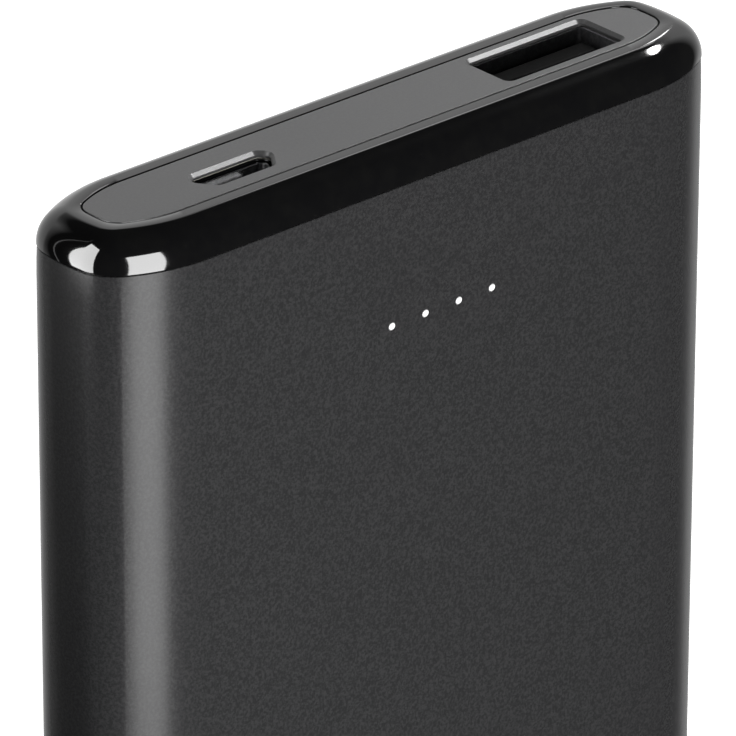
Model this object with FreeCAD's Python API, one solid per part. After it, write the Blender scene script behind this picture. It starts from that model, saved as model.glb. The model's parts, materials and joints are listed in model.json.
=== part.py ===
import FreeCAD, Part
import math
import os

# Slim power bank, standing upright. Lengths are in millimetres.
# X is the width, Y the thickness with the lit front face towards -Y, Z the height.
# The origin is the middle of the underside.

# Body outline in plan: a flat, a wide shoulder arc, a tight corner arc and a shallow end arc.
body_width = 65.7
body_thickness = 14.0
body_height = 95.0
end_radius = 16.4
shoulder_radius = 14.2
shoulder_length = 9.24
corner_radius = 3.8

# Sleeve and caps.
sleeve_wall = 1.2
sleeve_edge_chamfer = 0.12
seam_gap = 0.1
cap_round = 3.0
rim_inset = 2.34
rim_width = 1.0
spigot_gap = 0.1
spigot_wall = 1.0
spigot_depth = 3.0
cap_roof = 1.0

# Plates let into the caps, and the adhesive film under them.
plate_thickness = 0.5
plate_gap = 0.16
plate_corner_radius = 1.7
tape_thickness = 0.1
tape_margin = 0.4

# Ports. The sizes are those inside the metal shells.
usb_a_x = 18.3
usb_a_y = 0.05
usb_a_width = 12.6
usb_a_height = 5.0
usb_a_rounding = 0.45
usb_a_length = 14.0
usb_a_shell_wall = 0.3
usb_a_sight = 0.02
micro_x = -15.47
micro_y = -0.63
micro_width = 7.0
micro_height = 1.86
micro_cut_width = 0.9
micro_cut_height = 0.62
micro_back_corner = 0.32
micro_rounding = 0.12
micro_length = 5.6
micro_shell_wall = 0.25
micro_sight = 0.36
micro_drop = 0.2
port_chamfer = 0.28
shell_gap = 0.12

# Tongues and contacts inside the ports.
tongue_depth = 1.35
usb_a_tongue_width = 11.1
usb_a_tongue_thickness = 1.84
usb_a_tongue_offset = 0.55
usb_a_base_length = 4.6
usb_a_contact_width = 1.1
usb_a_contact_pitch = 2.3
usb_a_contact_count = 4
micro_tongue_width = 3.4
micro_tongue_thickness = 0.7
micro_tongue_offset = 0.38
micro_base_length = 1.4
micro_contact_width = 0.35
micro_contact_pitch = 0.65
micro_contact_count = 5
contact_thickness = 0.18
contact_setback = 0.7
usb_a_contact_stand = 0.06
micro_contact_stand = 0.04
micro_contact_depth = 0.1
usb_a_base_lift = 0.2
tongue_root = 0.5
micro_tongue_root = 0.3
micro_base_gap = 0.03
shell_tab_height = 0.8
shell_tab_places = (0.6, 0.9)
tongue_chamfer = 0.18

# Main board and what stands on it.
board_front = -3.25
board_thickness = 1.2
board_drop = 0.9
board_main_height = 24.5
board_side_gap = 0.3
board_notch_gap = 0.35
arm_overlap = 6.0
arm_width = 4.4
arm_below_button = 6.5
mount_tab = 1.1

# Parts on the board's back: X, distance below the board's top, then width, height and depth.
inductor_place = (-1.5, 13.0)
inductor_size = (6.8, 6.8, 3.0)
inductor_rounding = 1.4
inductor_dimple = (2.2, 0.3)
controller_place = (-10.5, 12.0)
controller_size = (4.0, 4.0, 0.85)
charger_place = (-19.5, 13.0)
charger_size = (3.9, 4.9, 1.45)
charger_stand = 0.1
charger_leg_size = (1.2, 0.4, 0.3)
charger_leg_reach = 2.4
charger_leg_pitch = 1.27
charger_legs_a_side = 4
mosfet_place = (-25.5, 9.5)
mosfet_size = (3.0, 3.0, 0.9)
mosfet_pitch = 4.6
mosfet_count = 2
small_capacitor_place = (8.5, 18.5)
small_capacitor_size = (1.25, 2.0, 1.2)
small_capacitor_pitch = 2.4
small_capacitor_count = 5
large_capacitor_place = (5.0, 13.0)
large_capacitor_size = (1.6, 3.2, 1.6)
large_capacitor_pitch = 2.6
large_capacitor_count = 2
upper_resistor_place = (-24.0, 18.0)
upper_resistor_size = (0.8, 1.6, 0.45)
upper_resistor_pitch = 1.7
upper_resistor_count = 8
lower_resistor_place = (-11.8, 15.8)
lower_resistor_size = (0.5, 1.0, 0.35)
lower_resistor_pitch = 1.5
lower_resistor_count = 3

# Indicator lights: a row of four pin-holes in the front face.
light_count = 4
light_first_x = -4.57
light_pitch = 3.59
light_drop = 14.93
light_hole_radius = 0.38
light_strip_thickness = 0.5
light_strip_height = 3.0
light_strip_margin = 1.8
light_sink = 0.03
led_width = 1.6
led_height = 0.8
led_depth = 0.6
baffle_hole_width = 2.6
baffle_hole_height = 1.8

# Side power button, centred on the right-hand end.
button_radius = 3.25
button_gap = 0.15
button_travel = 0.3
button_flange = 0.75
button_flange_thickness = 0.6
button_stop_gap = 0.05
button_sink = 0.08
dish_radius = 4.39
dish_depth = 0.15
stem_radius = 1.1
window_gap = 0.4

# Push switch behind the button.
switch_height = 4.5
switch_depth = 3.0
switch_cover_thickness = 0.2
plunger_reach = 0.9
plunger_width = 1.6
plunger_tail = 0.8
collar_width = 0.25
collar_thickness = 0.4
switch_room_depth = 2.0
switch_room_margin = 0.4
plunger_gap = 0.08
dome_thickness = 0.08
touch_gap = 0.02

# Inner frame: a tray open to the front.
frame_gap = 0.15
frame_wall = 0.7
frame_front = -1.5
frame_end_gap = 0.3
foot_thickness = 1.0
rib_thickness = 1.0
rib_notch_width = 13.0
boss_radius = 1.7
boss_length = 7.0
boss_web = 1.0
boss_edge_gap = 0.9
post_radius = 1.5
post_side_margin = 4.5
post_top_margin = 4.0
post_foot_margin = 3.0
post_from_micro = 9.0
post_from_usb_a = 2.5
post_arm_margin = 2.2
rib_gap = 0.3
rib_notch_front = 2.4
film_margin = 1.0
film_side_gap = 0.6
film_post_gap = 0.3

# Fasteners.
screw_radius = 0.7
screw_head_radius = 1.25
screw_head_depth = 0.6
screw_length = 4.5
screw_slot_width = 0.35
screw_slot_depth = 0.3
thread_gap = 0.02

# Pouch cell and its pads.
cell_thickness = 8.8
cell_right_gap = 0.9
cell_side_gap = 0.5
cell_foot_gap = 0.5
cell_rounding = 2.2
cell_end_rounding = 0.8
cell_tape_thickness = 0.1
cell_tape_margin = 4.0
cell_top_room = 1.0
foam_gap = 0.45
foam_margin = 7.0
cell_board_width = 30.0
cell_board_depth = 3.4
cell_board_thickness = 0.8
cell_board_lift = 0.9
cell_board_y = 0.5
tab_width = 4.0
tab_thickness = 0.15
tab_spacing = 18.0
lead_diameter = 1.2
lead_spacing = 6.0
lead_rises = (2.4, 6.4, 8.8)
lead_bend_share = 0.45
lead_gap = 0.02
film_thickness = 0.15

V = FreeCAD.Vector

# Heights that several pieces share.
cap_angle = math.acos(1 - rim_inset / cap_round)
cap_height = cap_round * math.sin(cap_angle)
seam_z = body_height - cap_height
recess_depth = plate_thickness + tape_thickness
recess_floor = body_height - recess_depth
roof_underside = recess_floor - cap_roof
plate_inset = rim_inset + rim_width + plate_gap
spigot_inset = sleeve_wall + spigot_gap
cavity_inset = spigot_inset + spigot_wall
spigot_bottom = seam_z - spigot_depth
frame_top = spigot_bottom - frame_end_gap
frame_bottom = body_height - frame_top
frame_inset = sleeve_wall + frame_gap
tray_inset = frame_inset + frame_wall
tray_back = body_thickness / 2 - tray_inset
cell_back = tray_back - cell_tape_thickness
sleeve_inside = body_thickness / 2 - sleeve_wall
board_back = board_front + board_thickness
board_top = roof_underside - board_drop
board_bottom = board_top - board_main_height
button_z = body_height / 2
light_z = body_height - light_drop
mouth_z = recess_floor - lead_gap


def corner_circle(inset, radius):
    """Centre of the corner arc that touches the end arc and the shoulder arc from inside."""
    end_x = body_width / 2 - end_radius
    shoulder_x = body_width / 2 - shoulder_length
    shoulder_y = body_thickness / 2 - shoulder_radius
    end_reach = end_radius - inset - radius
    shoulder_reach = shoulder_radius - inset - radius
    step_x = shoulder_x - end_x
    apart = math.hypot(step_x, shoulder_y)
    along = (apart ** 2 + end_reach ** 2 - shoulder_reach ** 2) / (2 * apart)
    aside = math.sqrt(end_reach ** 2 - along ** 2)
    unit_x = step_x / apart
    unit_y = shoulder_y / apart
    centre = V(end_x + unit_x * along - unit_y * aside, unit_y * along + unit_x * aside, 0)
    return centre, V(end_x, 0, 0), V(shoulder_x, shoulder_y, 0)


def polar(centre, radius, angle):
    return centre + V(radius * math.cos(angle), radius * math.sin(angle), 0)


def direction(start, end):
    step = end - start
    return math.atan2(step.y, step.x)


def flipped(point, side_x, side_y, z):
    return V(point.x * side_x, point.y * side_y, z)


def oval_wire(inset, z, radius=None):
    """The body outline, drawn inset; radius is the corner arc's own radius at that inset."""
    radius = corner_radius - inset if radius is None else radius
    corner, end, shoulder = corner_circle(inset, radius)
    first = direction(end, corner)
    second = direction(shoulder, corner)
    tip = V(body_width / 2 - inset, 0, 0)
    low = polar(end, end_radius - inset, first)
    middle = polar(corner, radius, (first + second) / 2)
    high = polar(shoulder, shoulder_radius - inset, second)
    bow = polar(shoulder, shoulder_radius - inset, (second + math.pi / 2) / 2)
    flat = V(shoulder.x, body_thickness / 2 - inset, 0)
    edges = []
    for side_x in (1, -1):
        ends = [flipped(low, side_x, -1, z), flipped(tip, side_x, 1, z), flipped(low, side_x, 1, z)]
        edges.append(Part.Arc(*ends).toShape())
        for side_y in (1, -1):
            corners = [flipped(point, side_x, side_y, z) for point in (low, middle, high)]
            shoulders = [flipped(point, side_x, side_y, z) for point in (high, bow, flat)]
            edges.append(Part.Arc(*corners).toShape())
            edges.append(Part.Arc(*shoulders).toShape())
    for side_y in (1, -1):
        edges.append(Part.makeLine(flipped(flat, 1, side_y, z), flipped(flat, -1, side_y, z)))
    return Part.Wire(Part.__sortEdges__(edges))


def half_width_at(inset, y):
    """How far the inset outline reaches from the middle at a distance y from the centre plane."""
    radius = corner_radius - inset
    corner, end, shoulder = corner_circle(inset, radius)
    y = abs(y)
    if y <= polar(end, end_radius - inset, direction(end, corner)).y:
        return end.x + math.sqrt((end_radius - inset) ** 2 - y ** 2)
    if y <= polar(shoulder, shoulder_radius - inset, direction(shoulder, corner)).y:
        return corner.x + math.sqrt(radius ** 2 - (y - corner.y) ** 2)
    return shoulder.x + math.sqrt((shoulder_radius - inset) ** 2 - (y - shoulder.y) ** 2)


def prism(inset, low, high, radius=None):
    return Part.Face(oval_wire(inset, low, radius)).extrude(V(0, 0, high - low))


def block(x_range, y_range, z_range):
    size = [max(pair) - min(pair) for pair in (x_range, y_range, z_range)]
    return Part.makeBox(*size, V(min(x_range), min(y_range), min(z_range)))


def slab(x, y, z, width, depth, height):
    """A block given by its middle and its size."""
    return Part.makeBox(width, depth, height, V(x - width / 2, y - depth / 2, z - height / 2))


def rod(radius, start, end):
    return Part.makeCylinder(radius, start.distanceToPoint(end), start, end - start)


def port_wire(points, x, y, z, rounding):
    """A closed outline of straight sides through the points, with a small arc at each corner."""
    points = [V(x + px, y + py, z) for px, py in points]
    edges = []
    previous = None
    count = len(points)
    for index in range(count + 1):
        here = points[index % count]
        to_last = points[index % count - 1] - here
        to_next = points[(index + 1) % count] - here
        half_turn = (math.pi - to_last.getAngle(to_next)) / 2
        reach = rounding * math.tan(half_turn)
        to_last.normalize()
        to_next.normalize()
        start = here + to_last * reach
        end = here + to_next * reach
        inward = to_last + to_next
        inward.normalize()
        middle = here + inward * (rounding / math.cos(half_turn) - rounding)
        if previous is not None:
            edges.append(Part.makeLine(previous, start))
        if index < count:
            edges.append(Part.Arc(start, middle, end).toShape())
        previous = end
    return Part.Wire(Part.__sortEdges__(edges))


def usb_a_prism(grow, low, high):
    half_x = usb_a_width / 2 + grow
    half_y = usb_a_height / 2 + grow
    points = [(half_x, half_y), (-half_x, half_y), (-half_x, -half_y), (half_x, -half_y)]
    wire = port_wire(points, usb_a_x, usb_a_y, low, usb_a_rounding + grow)
    return Part.Face(wire).extrude(V(0, 0, high - low))


def micro_prism(grow, low, high):
    """The small port's six-sided section: its wide side is at the back, its front corners are cut."""
    half_x = micro_width / 2
    half_y = micro_height / 2
    right = [(half_x - micro_cut_width, -half_y), (half_x, half_y - micro_cut_height),
             (half_x, half_y - micro_back_corner), (half_x - micro_back_corner, half_y)]
    left = [(-px, py) for px, py in reversed(right)]
    wire = port_wire(right + left, micro_x, micro_y, low, micro_rounding)
    if grow > 0:
        wire = wire.makeOffset2D(grow)
    return Part.Face(wire).extrude(V(0, 0, high - low))


def turned_over(shape):
    """The same piece at the other end of the body."""
    copy = shape.copy()
    copy.rotate(V(0, 0, body_height / 2), V(1, 0, 0), 180)
    return copy


def cap_screw_places():
    """Both cap screws stand under the plate, beside the ports."""
    reach = half_width_at(plate_inset, 0) - boss_edge_gap - screw_head_radius
    return (-reach, reach)


def countersunk_screw(x):
    head = Part.makeCone(screw_radius, screw_head_radius, screw_head_depth, V(0, 0, -screw_head_depth))
    shank = Part.makeCylinder(screw_radius, screw_length, V(0, 0, -screw_length))
    slot = slab(0, 0, 0, 2 * screw_head_radius, screw_slot_width, 2 * screw_slot_depth)
    cross = slab(0, 0, 0, screw_slot_width, 2 * screw_head_radius, 2 * screw_slot_depth)
    around = Part.makeCylinder(screw_radius + 0.1, screw_head_depth, V(0, 0, -screw_head_depth))
    drive = slot.fuse(cross).common(around)
    screw = head.fuse(shank).cut(drive)
    screw.translate(V(x, 0, recess_floor))
    return screw


def screw_hole(x):
    """The countersunk hole in a cap's roof, eased by the thread gap all round."""
    top = screw_head_radius + thread_gap
    bottom = screw_radius + thread_gap
    sink = Part.makeCone(bottom, top, screw_head_depth, V(x, 0, recess_floor - screw_head_depth))
    mouth = Part.makeCylinder(top, recess_depth, V(x, 0, recess_floor))
    bore = Part.makeCylinder(bottom, cap_roof, V(x, 0, roof_underside))
    return sink.fuse([mouth, bore])


def cap_blank():
    """The solid cap: its side leaves the seam upright and rolls in to the flat rim."""
    crest = seam_z + cap_round
    blank = prism(0, seam_z - cap_round, crest)
    edges = [edge for edge in blank.Edges if edge.BoundBox.ZMin > crest - 0.01]
    rolled = blank.makeFillet(cap_round, edges)
    keep = block((-body_width, body_width), (-body_thickness, body_thickness), (seam_z, body_height))
    return rolled.common(keep)


def cap_body():
    """Cap with its spigot, roof and the recess for the plate, but no port holes."""
    spigot = prism(spigot_inset, spigot_bottom, seam_z + 0.2)
    body = cap_blank().fuse(spigot)
    body = body.cut(prism(cavity_inset, spigot_bottom - 1, roof_underside))
    recess = prism(plate_inset - plate_gap, recess_floor, body_height + 1, plate_corner_radius + plate_gap)
    body = body.cut(recess)
    for x in cap_screw_places():
        body = body.cut(screw_hole(x))
    return body.removeSplitter()


def top_cap():
    low = spigot_bottom
    cap = cap_body().cut(usb_a_prism(usb_a_shell_wall + shell_gap, low, body_height))
    return cap.cut(micro_prism(micro_shell_wall + shell_gap, low, body_height))


def plain_plate():
    low = body_height - plate_thickness
    return prism(plate_inset, low, body_height, plate_corner_radius)


def top_plate():
    """The plate over the ports; each hole is bevelled at its upper edge."""
    low = body_height - plate_thickness
    plate = plain_plate().cut(usb_a_prism(usb_a_sight, low, body_height))
    plate = plate.cut(micro_prism(micro_sight, low, body_height))
    inner = half_width_at(plate_inset, 0) - 1.5
    edges = []
    for edge in plate.Edges:
        box = edge.BoundBox
        on_top = box.ZMin > body_height - 0.01
        if on_top and max(abs(box.XMin), abs(box.XMax)) < inner and box.YMax < plain_edge_y():
            if box.YMin > -plain_edge_y():
                edges.append(edge)
    return plate.makeChamfer(port_chamfer, edges)


def plain_edge_y():
    """Just inside the plate's straight front and back edges."""
    return body_thickness / 2 - plate_inset - 0.05


def plate_tape(with_ports):
    inset = plate_inset + tape_margin
    tape = prism(inset, recess_floor, recess_floor + tape_thickness, plate_corner_radius)
    if with_ports:
        tape = tape.cut(usb_a_prism(usb_a_shell_wall, recess_floor - 1, body_height))
        tape = tape.cut(micro_prism(micro_sight + 0.1, recess_floor - 1, body_height))
    return tape


def light_places():
    return [light_first_x + index * light_pitch for index in range(light_count)]


def case_sleeve():
    """Tube with the four light holes in front and the button hole and its dish at the right-hand end."""
    low = body_height - seam_z + seam_gap
    high = seam_z - seam_gap
    outer = prism(0, low, high)
    rims = [edge for edge in outer.Edges if edge.BoundBox.ZLength < 0.01]
    outer = outer.makeChamfer(sleeve_edge_chamfer, rims)
    sleeve = outer.cut(prism(sleeve_wall, low - 1, high + 1))
    for x in light_places():
        hole = rod(light_hole_radius, V(x, -body_thickness, light_z), V(x, 0, light_z))
        sleeve = sleeve.cut(hole)
    side = V(body_width / 4, 0, button_z)
    outside = V(body_width, 0, button_z)
    dish = rod(dish_radius, side, outside).cut(prism(dish_depth, 0, body_height))
    hole = rod(button_radius + button_gap, side, outside)
    return sleeve.cut(dish).cut(hole)


def power_button():
    """Curved push button: its face follows the end of the body, and its wings stop it above and below."""
    side = V(body_width / 4, 0, button_z)
    outside = V(body_width, 0, button_z)
    shell = prism(button_sink, 0, body_height)
    inner_face = sleeve_wall + button_stop_gap + button_flange_thickness
    head = rod(button_radius, side, outside).common(shell)
    wings = button_radius + button_flange
    flange = block((body_width / 4, body_width), (-button_radius, button_radius),
                   (button_z - wings, button_z + wings))
    flange = flange.common(prism(sleeve_wall + button_stop_gap, 0, body_height))
    button = head.fuse(flange).cut(prism(inner_face, 0, body_height))
    stem_start = V(plunger_tip() + touch_gap, 0, button_z)
    stem_end = V(body_width / 2 - inner_face + 0.2, 0, button_z)
    return button.fuse(rod(stem_radius, stem_start, stem_end)).removeSplitter()


def arm_edge():
    """Outer edge of the board's side arm."""
    return half_width_at(tray_inset, board_front) - board_side_gap


def plunger_tip():
    return arm_edge() - button_travel + plunger_reach


def switch_front():
    """The switch's face that the plunger comes out of."""
    return plunger_tip() - plunger_reach


def switch_body():
    """Open-fronted moulded base, standing on the back of the arm and centred on the button."""
    high = -board_back
    outer = block((switch_front() - switch_depth, switch_front() - switch_cover_thickness),
                  (board_back, high), (button_z - switch_height / 2, button_z + switch_height / 2))
    half = plunger_width / 2 + switch_room_margin
    room = block((switch_front() - switch_room_depth, switch_front()), (-half, half),
                 (button_z - half, button_z + half))
    return outer.cut(room)


def switch_cover():
    """Pressed metal face over the base, with a square hole for the plunger."""
    cover = block((switch_front() - switch_cover_thickness, switch_front()),
                  (board_back, -board_back), (button_z - switch_height / 2, button_z + switch_height / 2))
    gap = plunger_width / 2 + plunger_gap
    hole = block((0, body_width), (-gap, gap), (button_z - gap, button_z + gap))
    return cover.cut(hole)


def switch_plunger():
    """Square plunger with a collar that stays behind the cover."""
    half = plunger_width / 2
    rear = switch_front() - switch_cover_thickness - plunger_tail
    bar = block((rear, plunger_tip()), (-half, half), (button_z - half, button_z + half))
    collar = half + collar_width
    face = switch_front() - switch_cover_thickness - button_stop_gap
    back = block((face - collar_thickness, face), (-collar, collar), (button_z - collar, button_z + collar))
    return bar.fuse(back).removeSplitter()


def switch_dome():
    """Shallow spring disc at the bottom of the switch, with room for the plunger's travel."""
    floor = switch_front() - switch_room_depth
    return rod(plunger_width / 2, V(floor, 0, button_z), V(floor + dome_thickness, 0, button_z))


def frame_bosses():
    """Screw bosses at the top end, webbed to the tray's back wall."""
    parts = []
    for x in cap_screw_places():
        low = roof_underside - boss_length
        parts.append(rod(boss_radius, V(x, 0, low), V(x, 0, roof_underside)))
        web = block((x - boss_web / 2, x + boss_web / 2), (0, body_thickness), (low, frame_top))
        parts.append(web.common(prism(tray_inset - frame_wall / 2, low, frame_top)))
    return parts


def board_posts():
    """Places of the board's screws, as X and Z: two low, one high, one on the arm."""
    left = -half_width_at(cavity_inset, board_front) + post_side_margin
    high = board_top - post_top_margin
    low = board_bottom + post_foot_margin
    return [(left, low), (micro_x + post_from_micro, high), (usb_a_x - post_from_usb_a, low),
            (arm_middle(), arm_bottom() + post_arm_margin)]


def arm_middle():
    return arm_edge() - arm_width / 2


def arm_bottom():
    return button_z - arm_below_button


def cell_right():
    return arm_edge() - arm_width - cell_right_gap


def cell_low():
    return frame_bottom + foot_thickness + cell_foot_gap


def cell_high():
    return board_bottom - rib_thickness - cell_board_lift - cell_board_thickness - cell_top_room


def rib_low():
    return board_bottom - rib_thickness - rib_gap


def inner_frame():
    """Tray with a back wall and side walls, a foot, a rib under the board, bosses and posts."""
    tray = prism(frame_inset, frame_bottom, frame_top)
    hollow = prism(tray_inset, frame_bottom + foot_thickness, frame_top + 1)
    front = block((-body_width, body_width), (-body_thickness, frame_front),
                  (frame_bottom + foot_thickness, body_height))
    tray = tray.cut(hollow).cut(front)
    inside = prism(tray_inset - frame_wall / 2, frame_bottom, frame_top)
    rib = block((-body_width, cell_right()), (board_back + rib_gap, body_thickness),
                (rib_low(), rib_low() + rib_thickness)).common(inside)
    notch = block((-rib_notch_width / 2, rib_notch_width / 2), (-body_thickness, rib_notch_front),
                  (rib_low() - 1, rib_low() + rib_thickness + 1))
    pieces = [rib.cut(notch)]
    for x, z in board_posts():
        post = rod(post_radius, V(x, board_back, z), V(x, body_thickness, z))
        pieces.append(post.common(inside))
    tray = tray.fuse(pieces + frame_bosses() + [turned_over(boss) for boss in foot_bosses()])
    for x in cap_screw_places():
        bore = rod(screw_radius + thread_gap, V(x, 0, roof_underside - screw_length), V(x, 0, body_height))
        tray = tray.cut([bore, turned_over(bore)])
    for x, z in board_posts():
        hole = rod(screw_radius + thread_gap, V(x, board_back - 1, z), V(x, board_back + screw_length, z))
        tray = tray.cut(hole)
    tall = button_radius + button_flange + window_gap
    wide = button_radius + window_gap
    window = block((body_width / 4, body_width), (-wide, wide), (button_z - tall, button_z + tall))
    return tray.cut(window).removeSplitter()


def foot_bosses():
    """Short bosses that reach from the frame's end to a cap's roof; drawn at the top end."""
    foot = frame_top - foot_thickness
    return [rod(boss_radius, V(x, 0, foot), V(x, 0, roof_underside)) for x in cap_screw_places()]


def usb_a_notch():
    """The gap in the board that the large port's shell sinks into."""
    half = usb_a_width / 2 + usb_a_shell_wall + board_notch_gap
    low = mouth_z - usb_a_length - board_notch_gap
    return block((usb_a_x - half, usb_a_x + half), (-body_thickness, body_thickness), (low, body_height))


def main_board():
    """Board across the top of the tray, with a narrow arm down the right-hand side to the switch."""
    half = half_width_at(cavity_inset, board_front) - board_side_gap
    board = block((-half, half), (board_front, board_back), (board_bottom, board_top))
    arm = block((arm_edge() - arm_width, arm_edge()), (board_front, board_back),
                (arm_bottom(), board_bottom + arm_overlap))
    board = board.fuse(arm).cut(usb_a_notch())
    for x, z in board_posts():
        hole = rod(screw_radius + thread_gap, V(x, -body_thickness, z), V(x, board_back + 0.01, z))
        board = board.cut(hole)
    return board.removeSplitter()


def board_screws():
    """Pan-headed screws through the board into the posts."""
    screws = []
    for x, z in board_posts():
        head = rod(screw_head_radius, V(x, board_front - screw_head_depth, z), V(x, board_front, z))
        shank = rod(screw_radius, V(x, board_front, z), V(x, board_front + screw_length, z))
        slot = slab(x, board_front - screw_head_depth, z, 2 * screw_radius, 2 * screw_slot_depth,
                    screw_slot_width)
        screws.append(head.fuse(shank).cut(slot))
    return Part.Compound(screws)


def board_film():
    """Insulating sheet on the tray's back wall behind the board, cleared round posts and bosses."""
    high = tray_back - lead_gap
    half = half_width_at(tray_inset, high) - film_side_gap
    sheet = block((-half, half), (high - film_thickness, high),
                  (board_bottom + film_margin, frame_top - film_margin))
    for x, z in board_posts():
        clear = post_radius + film_post_gap
        sheet = sheet.cut(rod(clear, V(x, -body_thickness, z), V(x, body_thickness, z)))
    return sheet


def usb_a_shell():
    low = mouth_z - usb_a_length
    shell = usb_a_prism(usb_a_shell_wall, low, mouth_z).cut(usb_a_prism(0, low - 1, mouth_z + 1))
    half = usb_a_width / 2 + usb_a_shell_wall
    tabs = []
    for side in (-1, 1):
        for share in shell_tab_places:
            inner = usb_a_x + side * (half - usb_a_shell_wall / 2)
            outer = usb_a_x + side * (half + mount_tab)
            z = mouth_z - usb_a_length * share
            tabs.append(block((inner, outer), (board_back, board_back + usb_a_shell_wall),
                              (z - shell_tab_height, z + shell_tab_height)))
    return shell.fuse(tabs)


def usb_a_tongue():
    """Moulded block in the shell's rear, with the tongue standing forward from it."""
    low = mouth_z - usb_a_length
    base = usb_a_prism(-lead_gap, low + usb_a_base_lift, low + usb_a_base_length)
    y = usb_a_y + usb_a_tongue_offset
    tip = body_height - tongue_depth
    half = usb_a_tongue_thickness / 2
    tongue = block((usb_a_x - usb_a_tongue_width / 2, usb_a_x + usb_a_tongue_width / 2),
                   (y - half, y + half), (low + usb_a_base_length - tongue_root, tip))
    edges = [edge for edge in tongue.Edges if edge.BoundBox.ZMin > tip - 0.01]
    tongue = tongue.makeChamfer(tongue_chamfer, edges)
    return base.fuse(tongue).cut(usb_a_contacts())


def usb_a_contacts():
    """Four spring-plated strips let into the tongue's front face."""
    low = mouth_z - usb_a_length
    front = usb_a_y + usb_a_tongue_offset - usb_a_tongue_thickness / 2
    tip = body_height - tongue_depth - contact_setback
    strips = []
    for index in range(usb_a_contact_count):
        x = usb_a_x + (index - (usb_a_contact_count - 1) / 2) * usb_a_contact_pitch
        strips.append(block((x - usb_a_contact_width / 2, x + usb_a_contact_width / 2),
                            (front - usb_a_contact_stand, front - usb_a_contact_stand + contact_thickness),
                            (low, tip)))
    return Part.Compound(strips)


def micro_mouth():
    return mouth_z - micro_drop


def micro_shell():
    low = micro_mouth() - micro_length
    shell = micro_prism(micro_shell_wall, low, micro_mouth())
    return shell.cut(micro_prism(0, low - 1, micro_mouth() + 1))


def micro_tongue():
    low = micro_mouth() - micro_length
    y = micro_y + micro_tongue_offset
    half = micro_tongue_thickness / 2
    base = micro_prism(0, low, low + micro_base_length)
    width = micro_width - 2 * micro_base_gap
    height = micro_height - 2 * micro_base_gap
    base = base.common(slab(micro_x, micro_y, low, width, height, 2 * micro_length))
    tip = body_height - tongue_depth
    tongue = block((micro_x - micro_tongue_width / 2, micro_x + micro_tongue_width / 2),
                   (y - half, y + half), (low + micro_base_length - micro_tongue_root, tip))
    return base.fuse(tongue).cut(micro_contacts())


def micro_contacts():
    low = micro_mouth() - micro_length
    front = micro_y + micro_tongue_offset - micro_tongue_thickness / 2
    tip = body_height - tongue_depth - contact_setback
    strips = []
    for index in range(micro_contact_count):
        x = micro_x + (index - (micro_contact_count - 1) / 2) * micro_contact_pitch
        strips.append(block((x - micro_contact_width / 2, x + micro_contact_width / 2),
                            (front - micro_contact_stand, front + micro_contact_depth), (low, tip)))
    return Part.Compound(strips)


def on_board(x, below_top, size):
    """A part soldered to the back of the board."""
    width, height, depth = size
    z = board_top - below_top
    return block((x - width / 2, x + width / 2), (board_back, board_back + depth),
                 (z - height / 2, z + height / 2))


def board_row(place, size, pitch, count):
    """Equal parts side by side along X; the place is that of the first."""
    x, below_top = place
    return [on_board(x + index * pitch, below_top, size) for index in range(count)]


def power_inductor():
    """Moulded block with rounded upright edges and a round dimple in its face."""
    x, below_top = inductor_place
    core = on_board(x, below_top, inductor_size)
    corners = [edge for edge in core.Edges if edge.BoundBox.YLength > inductor_size[2] / 2]
    core = core.makeFillet(inductor_rounding, corners)
    dimple_radius, dimple_depth = inductor_dimple
    face = board_back + inductor_size[2]
    z = board_top - below_top
    return core.cut(rod(dimple_radius, V(x, face - dimple_depth, z), V(x, face + dimple_depth, z)))


def controller_chip():
    return on_board(*controller_place, controller_size)


def charger_chip():
    """Eight-legged package: a moulded body and two rows of flat legs."""
    x, below_top = charger_place
    body = on_board(x, below_top, charger_size)
    body.translate(V(0, charger_stand, 0))
    middle = (charger_legs_a_side - 1) / 2
    legs = []
    for side in (-1, 1):
        for index in range(charger_legs_a_side):
            drop = below_top + (index - middle) * charger_leg_pitch
            legs.append(on_board(x + side * charger_leg_reach, drop, charger_leg_size))
    return body.fuse(legs)


def mosfets():
    x, below_top = mosfet_place
    drops = [below_top + index * mosfet_pitch for index in range(mosfet_count)]
    return Part.Compound([on_board(x, drop, mosfet_size) for drop in drops])


def capacitors():
    row = board_row(small_capacitor_place, small_capacitor_size, small_capacitor_pitch,
                    small_capacitor_count)
    pair = board_row(large_capacitor_place, large_capacitor_size, large_capacitor_pitch,
                     large_capacitor_count)
    return Part.Compound(row + pair)


def resistors():
    upper = board_row(upper_resistor_place, upper_resistor_size, upper_resistor_pitch, upper_resistor_count)
    lower = board_row(lower_resistor_place, lower_resistor_size, lower_resistor_pitch, lower_resistor_count)
    return Part.Compound(upper + lower)


def indicator_leds():
    return Part.Compound([slab(x, board_front - led_depth / 2, light_z, led_width, led_depth, led_height)
                          for x in light_places()])


def light_row(margin, y_range, height):
    low = light_places()[0] - margin
    high = light_places()[-1] + margin
    return block((low, high), y_range, (light_z - height / 2, light_z + height / 2))


def light_guide():
    """Clear strip on the sleeve's inside, with one short pin up each light hole."""
    back = -sleeve_inside + light_strip_thickness
    guide = light_row(light_strip_margin, (-sleeve_inside, back), light_strip_height)
    pins = [rod(light_hole_radius - thread_gap / 2, V(x, -body_thickness / 2 + light_sink, light_z),
                V(x, -sleeve_inside + 0.1, light_z)) for x in light_places()]
    return guide.fuse(pins)


def light_baffle():
    """Black block between the board and the clear strip; one square hole round each light."""
    y_range = (-sleeve_inside + light_strip_thickness + 0.1, board_front)
    baffle = light_row(light_strip_margin, y_range, light_strip_height)
    for x in light_places():
        baffle = baffle.cut(slab(x, 0, light_z, baffle_hole_width, 2 * body_thickness, baffle_hole_height))
    return baffle


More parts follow.
